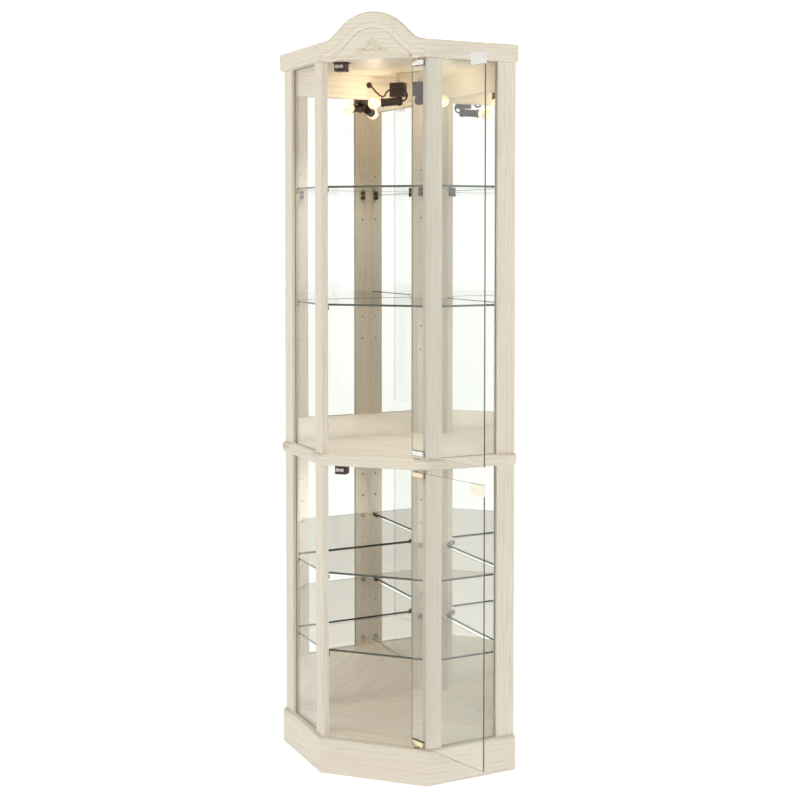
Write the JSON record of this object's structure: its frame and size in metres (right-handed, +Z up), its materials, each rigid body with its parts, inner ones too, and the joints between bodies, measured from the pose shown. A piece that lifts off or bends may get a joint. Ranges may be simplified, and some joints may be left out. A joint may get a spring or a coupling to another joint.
{
  "type": "curio cabinet",
  "caption": "Tall corner display cabinet with arched crown, mirrored back, glass shelves, frameless glass doors above and below, and a lamp inside.",
  "frame": {"origin": "on the floor, at the centre of the underside of the front plinth board", "axes": "+Z up, -Y the front face; the two back walls meet at a right angle behind, each at 45 degrees to X and Y"},
  "size_m": [0.6206, 0.5816, 1.829],
  "materials": {
    "wood": "white-washed oak, satin",
    "inside_wood": "white-washed oak veneer, satin",
    "back_board": "plain board, matt",
    "mirror": "silvered glass",
    "side_glass": "clear float glass",
    "door_glass": "clear toughened glass, polished edges",
    "shelf_glass": "clear toughened glass, green polished edges",
    "brass": "plated, satin",
    "clip_nickel": "nickel plated",
    "nickel": "nickel plated",
    "pin_brass": "dark bronze",
    "brown_plastic": "moulded, semi-matt",
    "lead": "flexible sheath",
    "bulb_glass": "lit, clear glass"
  },
  "bodies": {
    "cabinet": {"plinth_front": "wood", "plinth_left": "wood", "plinth_right": "wood", "plinth_back_left": "back_board", "plinth_back_right": "back_board", "floor_panel": "inside_wood", "lower_front_stile_left": "wood", "lower_front_stile_right": "wood", "lower_rear_stile_left": "wood", "lower_rear_stile_right": "wood", "lower_corner_post": "wood", "upper_front_stile_left": "wood", "upper_front_stile_right": "wood", "upper_rear_stile_left": "wood", "upper_rear_stile_right": "wood", "upper_corner_post": "wood", "lower_side_glass_left": "side_glass", "lower_side_glass_right": "side_glass", "upper_side_glass_left": "side_glass", "upper_side_glass_right": "side_glass", "lower_mirror_left": "mirror", "lower_mirror_right": "mirror", "upper_mirror_left": "mirror", "upper_mirror_right": "mirror", "back_panel_left": "back_board", "back_panel_right": "back_board", "back_top_rails": "inside_wood", "mid_board": "wood", "ceiling_board": "inside_wood", "crown_left": "wood", "crown_right": "wood", "crown_arch": "wood", "crown_tympanum": "wood", "crown_carving": "wood", "pivot_bushes": "brass", "lower_latch_body": "brown_plastic", "upper_latch_body": "brown_plastic", "shelf_pins": "pin_brass", "lamp_bracket": "brown_plastic", "lamp_socket_left": "brown_plastic", "lamp_socket_right": "brown_plastic", "lamp_bulbs": "bulb_glass", "lamp_lead": "lead", "lamp_grommet": "brown_plastic"},
    "upper_door": {"upper_door_glass": "door_glass", "upper_door_top_clip": "clip_nickel", "upper_door_bottom_clip": "clip_nickel", "upper_door_strike": "nickel", "upper_door_screws": "clip_nickel"},
    "lower_door": {"lower_door_glass": "door_glass", "lower_door_top_clip": "brass", "lower_door_bottom_clip": "brass", "lower_door_strike": "nickel", "lower_door_screws": "brass"},
    "upper_latch": {"upper_latch_plungers": "brown_plastic"},
    "lower_latch": {"lower_latch_plungers": "brown_plastic"},
    "lower_shelf_1": {"lower_shelf_1": "shelf_glass"},
    "lower_shelf_2": {"lower_shelf_2": "shelf_glass"},
    "upper_shelf_1": {"upper_shelf_1": "shelf_glass"},
    "upper_shelf_2": {"upper_shelf_2": "shelf_glass"}
  },
  "joints": [
    {"name": "upper_door_pivot", "type": "hinge", "parent": "cabinet", "child": "upper_door", "pos_m": [0.1056, 0.006, 1.2495], "axis": [0, 0, 1], "range_deg": [-150, 0]},
    {"name": "lower_door_pivot", "type": "hinge", "parent": "cabinet", "child": "lower_door", "pos_m": [0.1056, 0.006, 0.4195], "axis": [0, 0, 1], "range_deg": [-150, 0]},
    {"name": "upper_latch_push", "type": "slide", "parent": "cabinet", "child": "upper_latch", "axis": [0, 1, 0], "range_m": [0, 0.0028], "stiffness_N_per_m": 400},
    {"name": "lower_latch_push", "type": "slide", "parent": "cabinet", "child": "lower_latch", "axis": [0, 1, 0], "range_m": [0, 0.0028], "stiffness_N_per_m": 400},
    {"name": "lower_shelf_1_lift", "type": "slide", "parent": "cabinet", "child": "lower_shelf_1", "axis": [0, 0, 1], "range_m": [0, 0.03]},
    {"name": "lower_shelf_2_lift", "type": "slide", "parent": "cabinet", "child": "lower_shelf_2", "axis": [0, 0, 1], "range_m": [0, 0.03]},
    {"name": "upper_shelf_1_lift", "type": "slide", "parent": "cabinet", "child": "upper_shelf_1", "axis": [0, 0, 1], "range_m": [0, 0.03]},
    {"name": "upper_shelf_2_lift", "type": "slide", "parent": "cabinet", "child": "upper_shelf_2", "axis": [0, 0, 1], "range_m": [0, 0.03]}
  ]
}
